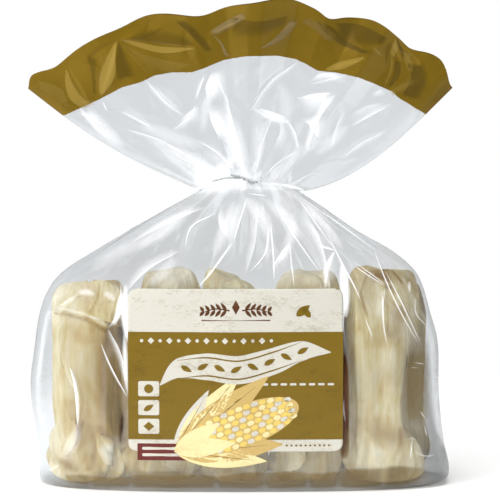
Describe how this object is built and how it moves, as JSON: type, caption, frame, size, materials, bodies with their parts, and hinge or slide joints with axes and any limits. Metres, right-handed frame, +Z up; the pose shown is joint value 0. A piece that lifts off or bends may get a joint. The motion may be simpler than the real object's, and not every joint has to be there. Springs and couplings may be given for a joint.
{
  "type": "bag of tamales",
  "caption": "Clear film bag of corn-husk tamales, standing upright, with a wire tie at the gathered neck, a gold-edged frill above it and a plain front label.",
  "frame": {"origin": "bottom centre of the whole bag, on the surface it stands on", "axes": "+Z up, -Y out of the labelled front, +X to the right as seen from the front"},
  "size_m": [0.2742, 0.0898, 0.314],
  "materials": {
    "film": "clear glossy film, creased, with the pale husks showing through it and a printed gold band along the mouth",
    "husk": "dry corn husk with fine lengthwise fibres",
    "label_print": "satin print, olive gold with cream bands",
    "tie_wire": "thin grey plastic coat over wire"
  },
  "bodies": {
    "root": {"bag": "film", "label": "label_print", "twist_tie": "tie_wire"}
  },
  "joints": []
}
